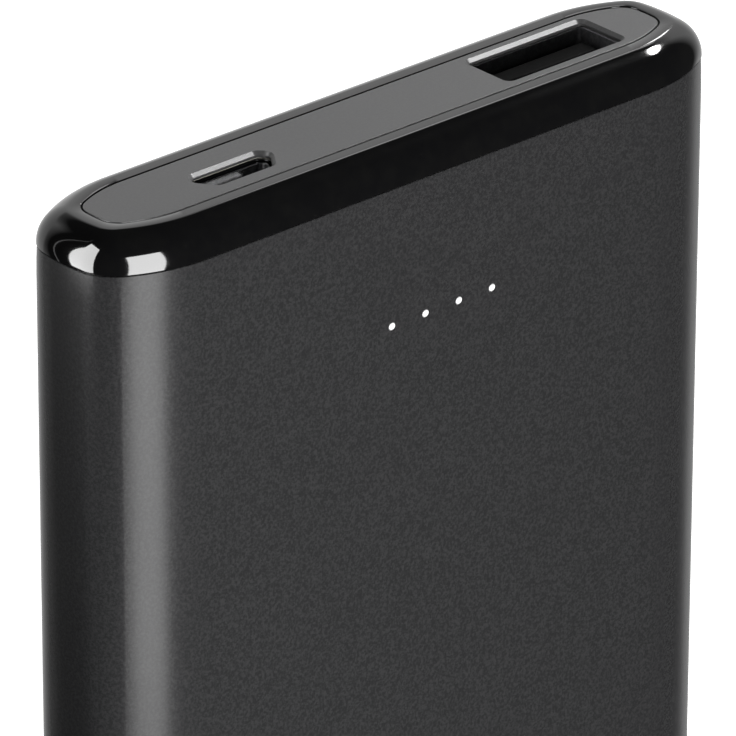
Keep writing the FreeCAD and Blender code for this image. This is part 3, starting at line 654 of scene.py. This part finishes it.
def capMesh(withPorts):
    bm = bmesh.new()
    rings = [ovalRing(bm, inset, z, corner) for inset, z, corner in capProfile()]
    floorZ = topZ - cap["recessDepth"]
    roofZ = floorZ - cap["roof"]
    cavity = ovalRing(bm, cap["cavityInset"], roofZ)
    holes = []
    for x in (-screwReach, screwReach):
        holes.append([circleRing(bm, cap["screwHole"], x, z) for z in (floorZ, roofZ)])
    if withPorts:
        for port in (usbPort, microPort):
            holes.append([portRing(bm, port, port["holeGap"], z) for z in (floorZ, roofZ)])
    stack(bm, rings)
    stack(bm, [cavity, rings[0]])
    for upper, lower in holes:
        stack(bm, [upper, lower])
    fillFlat(bm, rings[-1] + [edge for upper, lower in holes for edge in upper])
    fillFlat(bm, cavity + [edge for upper, lower in holes for edge in lower])
    return bm


def circleRing(bm, radius, x, z):
    circle = bmesh.ops.create_circle(bm, cap_ends=False, segments=40, radius=radius,
                                     matrix=Matrix.Translation((x, 0, z)))
    return edgesOf(circle["verts"])


# Turns a mesh made for the top end over to the bottom end.
def turnOver(bm):
    middle = Vector((0, 0, topZ / 2))
    bmesh.ops.rotate(bm, cent=middle, matrix=Matrix.Rotation(math.pi, 3, "X"), verts=bm.verts[:])
    return bm


makePiece(capMesh(True), "topCap", "case", "cap_gloss", ["top_cap"])
makePiece(turnOver(capMesh(False)), "bottomCap", "case", "cap_gloss", ["bottom_cap"])
print("caps made")


plate = {
    "thickness": 0.5 * mm,
    "gap": 0.16 * mm,
    "corner": 1.7 * mm,
    "edgeSoftening": 0.05 * mm,
    "chamfer": 0.28,
    "sharpAngle": 12,
}


# The plate with its ports' bevelled mouths.
def plateMesh(withPorts):
    bm = bmesh.new()
    inset = recessInset + plate["gap"]
    soft = plate["edgeSoftening"]
    part = soft * innerPoint
    lowZ = topZ - plate["thickness"]
    rings = [ovalRing(bm, inset, lowZ, plate["corner"]), ovalRing(bm, inset, topZ - soft, plate["corner"]),
             ovalRing(bm, inset + part, topZ - part, plate["corner"] - part),
             ovalRing(bm, inset + soft, topZ, plate["corner"] - soft)]
    stack(bm, rings)
    topEdges = list(rings[-1])
    lowEdges = list(rings[0])
    if withPorts:
        for port in (usbPort, microPort):
            mouth = portRing(bm, port, port["sight"] + plate["chamfer"], topZ)
            throat = portRing(bm, port, port["sight"], topZ - plate["chamfer"] * mm)
            foot = portRing(bm, port, port["sight"], lowZ)
            stack(bm, [mouth, throat, foot])
            topEdges += mouth
            lowEdges += foot
    fillFlat(bm, topEdges)
    fillFlat(bm, lowEdges)
    return bm


makePiece(plateMesh(True), "topPlate", "case", "plate_satin", ["top_plate"], plate["sharpAngle"])
makePiece(turnOver(plateMesh(False)), "bottomPlate", "case", "plate_satin", ["bottom_plate"],
          plate["sharpAngle"])
print("plates made")


sleeve = {
    "wall": 1.2 * mm,
    "endProfile": [(0.12, 0.0), (0.07, 0.04), (0.05, 0.4), (0.02, 1.2), (0.0, 2.6)],  # inset and rise
    "middleReach": 5 * mm,
    "lightHole": 0.38 * mm,
    "dishRadius": 4.39 * mm,
    "dishDepth": 0.15 * mm,
    "buttonHole": 3.4 * mm,
}
sleeveLow, sleeveHigh = (corner.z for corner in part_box("case_sleeve"))
buttonLow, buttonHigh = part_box("power_button")
buttonZ = (buttonLow.z + buttonHigh.z) / 2
pinLow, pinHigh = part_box("light_guide")
lightZ = (pinLow.z + pinHigh.z) / 2
ledLow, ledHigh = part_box("indicator_leds")
ledWidth = 1.6 * mm
lightCount = 4
lightStep = (ledHigh.x - ledLow.x - ledWidth) / (lightCount - 1)
lightPlaces = [ledLow.x + ledWidth / 2 + lightStep * index for index in range(lightCount)]


def sleeveMesh():
    bm = bmesh.new()
    wall = sleeve["wall"]
    reach = sleeve["middleReach"]
    ends = [(inset * mm, rise * mm) for inset, rise in sleeve["endProfile"]]
    rings = [ovalRing(bm, wall, sleeveLow)]
    rings += [ovalRing(bm, inset, sleeveLow + rise) for inset, rise in ends]
    rings += [ovalRing(bm, 0, buttonZ - reach), ovalRing(bm, 0, buttonZ + reach)]
    rings += [ovalRing(bm, inset, sleeveHigh - rise) for inset, rise in reversed(ends)]
    rings.append(ovalRing(bm, wall, sleeveHigh))
    stack(bm, rings + [rings[0]])
    return looseObject(bm, "sleeveBlank")


def cutSleeve():
    body = sleeveMesh()
    middle = (halfWidth / 2, 0, buttonZ)
    outside = (halfWidth * beyond, 0, buttonZ)
    dish = cylinderObject(sleeve["dishRadius"], middle, outside, "dishCutter", 128)
    dish = combine(dish, ovalSolid(sleeve["dishDepth"], 0, topZ, "dishFloor"), "DIFFERENCE")
    body = combine(body, dish, "DIFFERENCE")
    hole = cylinderObject(sleeve["buttonHole"], middle, outside, "holeCutter", 128)
    body = combine(body, hole, "DIFFERENCE")
    for x in lightPlaces:
        ahead = (x, -halfDepth * beyond, lightZ)
        cutter = cylinderObject(sleeve["lightHole"], ahead, (x, 0, lightZ), "pinCutter", 40)
        body = combine(body, cutter, "DIFFERENCE")
    return takeMesh(body)


makePiece(cutSleeve(), "caseSleeve", "case", "sleeve_matte", ["case_sleeve"])
print("sleeve made")


shell = {"chamfer": 0.06}
usbTongue = {"width": 11.1 * mm, "thickness": 1.84 * mm, "offset": 0.55 * mm, "base": 4.4 * mm}
microTongue = {"width": 3.4 * mm, "thickness": 0.7 * mm, "offset": 0.38 * mm, "base": 1.4 * mm}
tongueEdge = 0.18 * mm
baseGap = 0.03


# A folded metal sleeve with a lightly broken mouth.
def shellMesh(port, node):
    bm = bmesh.new()
    low, high = (corner.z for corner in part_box(node))
    wall = port["wall"]
    edge = shell["chamfer"]
    shoulder = high - edge * mm
    rings = [portRing(bm, port, 0, low), portRing(bm, port, wall, low), portRing(bm, port, wall, shoulder),
             portRing(bm, port, wall - edge, high), portRing(bm, port, edge, high),
             portRing(bm, port, 0, shoulder)]
    stack(bm, rings + [rings[0]])
    return bm


makePiece(shellMesh(usbPort, "usb_a_shell"), "usbShell", "case", "shell_steel", ["usb_a_shell"])
makePiece(shellMesh(microPort, "micro_usb_shell"), "microShell", "case", "shell_steel", ["micro_usb_shell"])


# A moulded base that fills the shell's rear, with the tongue standing up from it.
def tongueMesh(port, node, tongue):
    bm = bmesh.new()
    low, high = (corner.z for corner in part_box(node))
    centre = port["centre"]
    base = [portRing(bm, port, -baseGap, low), portRing(bm, port, -baseGap, low + tongue["base"])]
    stack(bm, base)
    for ring in base:
        bmesh.ops.edgeloop_fill(bm, edges=ring)
    y = centre.y + tongue["offset"]
    half = Vector((tongue["width"] / 2, tongue["thickness"] / 2))
    verts = addBlock(bm, (centre.x - half.x, y - half.y, low + tongue["base"] / 2),
                     (centre.x + half.x, y + half.y, high))
    tip = [edge for edge in edgesOf(verts) if all(vert.co.z > high - nearly for vert in edge.verts)]
    bmesh.ops.bevel(bm, geom=tip, offset=tongueEdge, affect="EDGES", segments=3, profile=0.5, material=-1)
    return bm


makePiece(tongueMesh(usbPort, "usb_a_tongue", usbTongue), "usbTongue", "case", "tongue_black",
          ["usb_a_tongue"])
makePiece(tongueMesh(microPort, "micro_usb_tongue", microTongue), "microTongue", "case", "tongue_white",
          ["micro_usb_tongue"])
print("ports made")


lightPin = {
    "radius": 0.37 * mm,
    "sink": 0.03 * mm,
    "dome": 0.08 * mm,
    "root": 0.1 * mm,
    "stripEdge": 0.08 * mm,
    "glowCore": 0.12 * mm,
    "glowEdge": 0.37 * mm,
    "glowSquash": 1.22,
    "glow": 2.4,
    "glowLeft": 0.04,
}


# Clear strip behind the front face, with four round-ended pins in the light holes.
def guideMesh():
    bm = bmesh.new()
    stripBack = pinHigh.y
    stripFront = -halfDepth + sleeve["wall"]
    strip = addBlock(bm, (pinLow.x, stripFront, pinLow.z), (pinHigh.x, stripBack, pinHigh.z))
    softenEdges(bm, strip, lightPin["stripEdge"])
    pinFront = -halfDepth + lightPin["sink"]
    for x in lightPlaces:
        verts = addCylinder(bm, lightPin["radius"], (x, pinFront, lightZ),
                            (x, stripFront + lightPin["root"], lightZ), 32)
        front = [edge for edge in edgesOf(verts)
                 if all(vert.co.y < pinFront + nearly for vert in edge.verts)]
        bmesh.ops.bevel(bm, geom=front, offset=lightPin["dome"], affect="EDGES", segments=4, profile=0.5,
                        material=-1)
    return bm


# The glow is brightest on each pin's axis and fades towards its rim.
def glowFromPins(material):
    tree = material.node_tree
    parts = tree.nodes.new("ShaderNodeSeparateXYZ")
    tree.links.new(tree.nodes.new("ShaderNodeTexCoord").outputs["Object"], parts.inputs["Vector"])
    above = addMath(tree, "SUBTRACT", parts.outputs["Z"], lightZ)
    rise = addMath(tree, "MULTIPLY", above, lightPin["glowSquash"])
    nearest = 1.0
    for x in lightPlaces:
        across = addMath(tree, "SUBTRACT", parts.outputs["X"], x)
        away = addMath(tree, "SQRT", addMath(tree, "ADD", addMath(tree, "MULTIPLY", across, across),
                                             addMath(tree, "MULTIPLY", rise, rise)), 0.0)
        nearest = addMath(tree, "MINIMUM", nearest, away)
    glow = addRange(tree, nearest, lightPin["glowCore"], lightPin["glowEdge"], lightPin["glow"],
                    lightPin["glowLeft"])
    tree.links.new(glow, tree.nodes["Principled BSDF"].inputs["Emission Strength"])


glowFromPins(materialFor["light_clear"])
makePiece(guideMesh(), "lightGuide", "case", "light_clear", ["light_guide"])
print("light pins made")


button = {
    "radius": 3.25 * mm,
    "sink": 0.08 * mm,
    "edge": 0.22 * mm,
    "rimAngle": 50,
    "stem": 1.1 * mm,
    "stemRoot": 0.2 * mm,
    "flangeGap": 1.25 * mm,
    "flangeThickness": 0.6 * mm,
    "wing": 0.75 * mm,
}


# Round button whose face follows the body's end, with winged stops behind it and a stem to the switch.
def buttonMesh():
    inner = halfWidth - button["flangeGap"] - button["flangeThickness"]
    outside = halfWidth * beyond
    head = cylinderObject(button["radius"], (inner, 0, buttonZ), (outside, 0, buttonZ), "buttonHead", 128)
    head = combine(head, ovalSolid(button["sink"], 0, topZ, "buttonFace"), "INTERSECT")
    bm = takeMesh(head)
    bend = math.radians(button["rimAngle"])
    rim = [edge for edge in bm.edges if len(edge.link_faces) == 2 and edge.calc_face_angle() > bend
           and min(vert.co.x for vert in edge.verts) > halfWidth - button["flangeGap"]]
    bmesh.ops.bevel(bm, geom=rim, offset=button["edge"], affect="EDGES", segments=4, profile=0.5,
                    material=-1, clamp_overlap=True)
    tall = button["radius"] + button["wing"]
    flange = looseBlock((inner, -button["radius"], buttonZ - tall),
                        (outside, button["radius"], buttonZ + tall), "buttonFlange")
    flange = combine(flange, ovalSolid(button["flangeGap"], 0, topZ, "flangeFace"), "INTERSECT")
    bm.from_mesh(flange.data)
    bpy.data.objects.remove(flange)
    addCylinder(bm, button["stem"], (buttonLow.x, 0, buttonZ), (inner + button["stemRoot"], 0, buttonZ), 48)
    return bm


def looseBlock(low, high, name):
    bm = bmesh.new()
    addBlock(bm, low, high)
    return looseObject(bm, name)


makePiece(buttonMesh(), "powerButton", "button", "button_plastic", ["power_button"])
print("button made")


foamLow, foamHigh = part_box("cell_foam")
foam = {"rounding": 0.25 * mm, "cuts": 24, "dimple": 0.05 * mm, "wave": 7.0 * mm, "longEdge": 10}


# The pad between the cell and the sleeve, with soft edges and a slightly uneven face.
def foamMesh():
    bm = bmesh.new()
    addBlock(bm, foamLow, foamHigh)
    softenEdges(bm, bm.verts[:], foam["rounding"], 3)
    wide = [edge for edge in bm.edges if edge.calc_length() > foam["longEdge"] * foam["rounding"]]
    bmesh.ops.subdivide_edges(bm, edges=wide, cuts=foam["cuts"], use_grid_fill=True)
    middle = (Vector(foamLow) + Vector(foamHigh)) / 2
    for vert in bm.verts:
        depth = noise.noise(vert.co / foam["wave"]) * foam["dimple"] + foam["dimple"]
        vert.co.y += math.copysign(min(depth, abs(vert.co.y - middle.y)), middle.y - vert.co.y)
    return bm


foamPad = makePiece(foamMesh(), "cellFoam", "case", "foam", ["cell_foam"])
print("foam pad made")

studio = {
    "cameraAzimuth": -41.935,
    "cameraElevation": 26.112,
    "cameraRoll": 0.176,
    "cameraDistance": 0.6899,
    "target": (-0.000868, 0.0, topZ - 0.022357),
    "lens": 419.2,
    "lampCentre": (-0.029, -0.002, 0.0),
}


def makeCamera():
    back = compass(studio["cameraAzimuth"], studio["cameraElevation"])
    data = bpy.data.cameras.new("camera")
    data.lens = studio["lens"]
    data.sensor_width = 36
    data.clip_start = 0.01
    data.clip_end = 20
    camera = bpy.data.objects.new("camera", data)
    bpy.context.scene.collection.objects.link(camera)
    roll = Euler((0, 0, math.radians(studio["cameraRoll"]))).to_quaternion()
    turn = (-back).to_track_quat("-Z", "Y") @ roll
    camera.rotation_mode = "QUATERNION"
    camera.rotation_quaternion = turn
    camera.location = Vector(studio["target"]) + back * studio["cameraDistance"]
    bpy.context.scene.camera = camera


# Boxes stand upright round the object. Azimuth is measured from straight ahead of the front face towards the
# right-hand end; the heights are those of the box's lower and upper edges above the object's foot.
softboxes = {
    "frontBox": {
        "azimuth": -6.0, "distance": 0.25, "width": 0.106, "low": -0.1, "high": 0.236, "bright": 17.0,
    },
    "leftBox": {
        "azimuth": -108.0, "distance": 0.2, "width": 0.146, "low": 0.02, "high": 0.33, "bright": 15.0,
    },
    "leftSheen": {
        "azimuth": -108.0, "distance": 0.21, "width": 0.146, "low": 0.08, "high": 0.33, "bright": 60.0,
    },
    "edgeStrip": {
        "azimuth": -140.0, "distance": 0.3, "width": 0.004, "low": -0.1, "high": 0.5, "bright": 1.5,
    },
}
onlyLit = {"leftSheen": "caseSleeve", "edgeLight": "topPlate", "tongueLight": "microTongue"}
spots = {
    "keyLight": {
        "azimuth": 93.0, "elevation": 44.5, "distance": 0.45, "width": 0.15, "height": 0.05,
        "bright": 60.0,
    },
    "rimSpot": {
        "azimuth": 127.5, "elevation": 32.0, "distance": 0.45, "width": 0.036, "height": 0.036,
        "bright": 14.0,
    },
    "rimGlow": {
        "azimuth": 128.0, "elevation": 40.0, "distance": 0.45, "width": 0.12, "height": 0.05,
        "bright": 1.8,
    },
    "tongueLight": {
        "azimuth": 138.0, "elevation": 72.0, "distance": 0.3, "width": 0.07, "height": 0.07,
        "bright": 90.0,
    },
    "edgeLight": {
        "azimuth": 54.0, "elevation": 42.0, "distance": 0.3, "width": 0.09, "height": 0.09,
        "bright": 26.0,
    },
}


# A direction from the object, given in degrees.
def compass(azimuth, elevation=0.0):
    azimuth = math.radians(azimuth)
    elevation = math.radians(elevation)
    return Vector((math.sin(azimuth) * math.cos(elevation), -math.cos(azimuth) * math.cos(elevation),
                   math.sin(elevation)))


# An area light of a given brightness; the camera itself doesn't see it.
def addLamp(name, shape, width, height, bright, place, away):
    data = bpy.data.lights.new(name, "AREA")
    data.shape = shape
    data.size = width
    data.size_y = height
    data.energy = bright * math.pi * width * height
    lamp = bpy.data.objects.new(name, data)
    bpy.context.scene.collection.objects.link(lamp)
    lamp.location = place
    lamp.rotation_mode = "QUATERNION"
    lamp.rotation_quaternion = away.to_track_quat("Z", "Y")
    lamp.visible_camera = False
    return lamp


# The lamp lights one piece only.
def aimAt(lamp, pieceName):
    lit = bpy.data.collections.new(lamp.name + "Lit")
    lit.objects.link(bpy.data.objects[pieceName])
    lamp.light_linking.receiver_collection = lit


def makeSoftboxes():
    middle = Vector(studio["lampCentre"])
    for name, box in softboxes.items():
        away = compass(box["azimuth"])
        place = middle + away * box["distance"] + Vector((0, 0, (box["low"] + box["high"]) / 2))
        height = box["high"] - box["low"]
        lamp = addLamp(name, "RECTANGLE", box["width"], height, box["bright"], place, away)
        lamp.visible_diffuse = name == "frontBox"
        if name in onlyLit:
            aimAt(lamp, onlyLit[name])


def makeSpots():
    for name, spot in spots.items():
        away = compass(spot["azimuth"], spot["elevation"])
        place = Vector((halfWidth, 0, topZ)) + away * spot["distance"]
        lamp = addLamp(name, "ELLIPSE", spot["width"], spot["height"], spot["bright"], place, away)
        lamp.visible_diffuse = name in ("keyLight", "tongueLight")
        if name in onlyLit:
            aimAt(lamp, onlyLit[name])


# Surroundings as the object mirrors them: a white wall behind and to the right, dark above and in front.
surroundings = {
    "toWall": (0.5, 0.866),
    "wallFades": (0.42, 0.56),
    "topFades": (0.56, 0.68),
    "dark": 0.045,
    "white": 1.25,
    "seen": 1.2,
}


def makeWorld():
    world = bpy.data.worlds.new("studioWorld")
    bpy.context.scene.world = world
    world.use_nodes = True
    tree = world.node_tree
    tree.nodes.clear()
    place = tree.nodes.new("ShaderNodeTexCoord").outputs["Generated"]
    parts = tree.nodes.new("ShaderNodeSeparateXYZ")
    tree.links.new(place, parts.inputs["Vector"])
    toWall = surroundings["toWall"]
    turned = addMath(tree, "ADD", addMath(tree, "MULTIPLY", parts.outputs["X"], toWall[0]),
                     addMath(tree, "MULTIPLY", parts.outputs["Y"], toWall[1]))
    wall = addRange(tree, turned, *surroundings["wallFades"], 0.0, 1.0)
    below = addRange(tree, parts.outputs["Z"], *surroundings["topFades"], 1.0, 0.0)
    bright = addRange(tree, addMath(tree, "MULTIPLY", wall, below), 0.0, 1.0, surroundings["dark"],
                      surroundings["white"])
    surround = tree.nodes.new("ShaderNodeBackground")
    tree.links.new(bright, surround.inputs["Strength"])
    plain = tree.nodes.new("ShaderNodeBackground")
    plain.inputs["Strength"].default_value = surroundings["seen"]
    rays = tree.nodes.new("ShaderNodeLightPath")
    mix = tree.nodes.new("ShaderNodeMixShader")
    end = tree.nodes.new("ShaderNodeOutputWorld")
    tree.links.new(rays.outputs["Is Camera Ray"], mix.inputs["Fac"])
    tree.links.new(surround.outputs["Background"], mix.inputs[1])
    tree.links.new(plain.outputs["Background"], mix.inputs[2])
    tree.links.new(mix.outputs["Shader"], end.inputs["Surface"])


floorLook = {"radius": 3.0, "drop": 0.05 * mm, "tone": 0.9, "glow": 0.75}


# A pale floor that shows from above only, so that the foot can be seen from below.
def makeFloor():
    bm = bmesh.new()
    bmesh.ops.create_circle(bm, cap_ends=True, segments=96, radius=floorLook["radius"],
                            matrix=Matrix.Translation((0, 0, -floorLook["drop"])))
    mesh = bpy.data.meshes.new("studioFloor")
    bm.to_mesh(mesh)
    bm.free()
    floor = bpy.data.objects.new("studioFloor", mesh)
    bpy.context.scene.collection.objects.link(floor)
    material = bpy.data.materials.new("paleFloor")
    material.use_nodes = True
    shader = material.node_tree.nodes["Principled BSDF"]
    tone = floorLook["tone"]
    shader.inputs["Base Color"].default_value = (tone, tone, tone, 1)
    shader.inputs["Roughness"].default_value = 0.9
    shader.inputs["Specular IOR Level"].default_value = 0.0
    shader.inputs["Emission Color"].default_value = (1, 1, 1, 1)
    shader.inputs["Emission Strength"].default_value = floorLook["glow"]
    tree = material.node_tree
    side = tree.nodes.new("ShaderNodeNewGeometry").outputs["Backfacing"]
    mix = tree.nodes.new("ShaderNodeMixShader")
    tree.links.new(side, mix.inputs["Fac"])
    tree.links.new(shader.outputs["BSDF"], mix.inputs[1])
    tree.links.new(tree.nodes.new("ShaderNodeBsdfTransparent").outputs["BSDF"], mix.inputs[2])
    tree.links.new(mix.outputs["Shader"], tree.nodes["Material Output"].inputs["Surface"])
    mesh.materials.append(material)
    floor.visible_glossy = False
    floor.visible_diffuse = False
    floor.visible_shadow = False


bpy.context.scene.view_settings.view_transform = "Standard"
makeCamera()
makeSoftboxes()
makeSpots()
makeWorld()
makeFloor()
print("studio made")
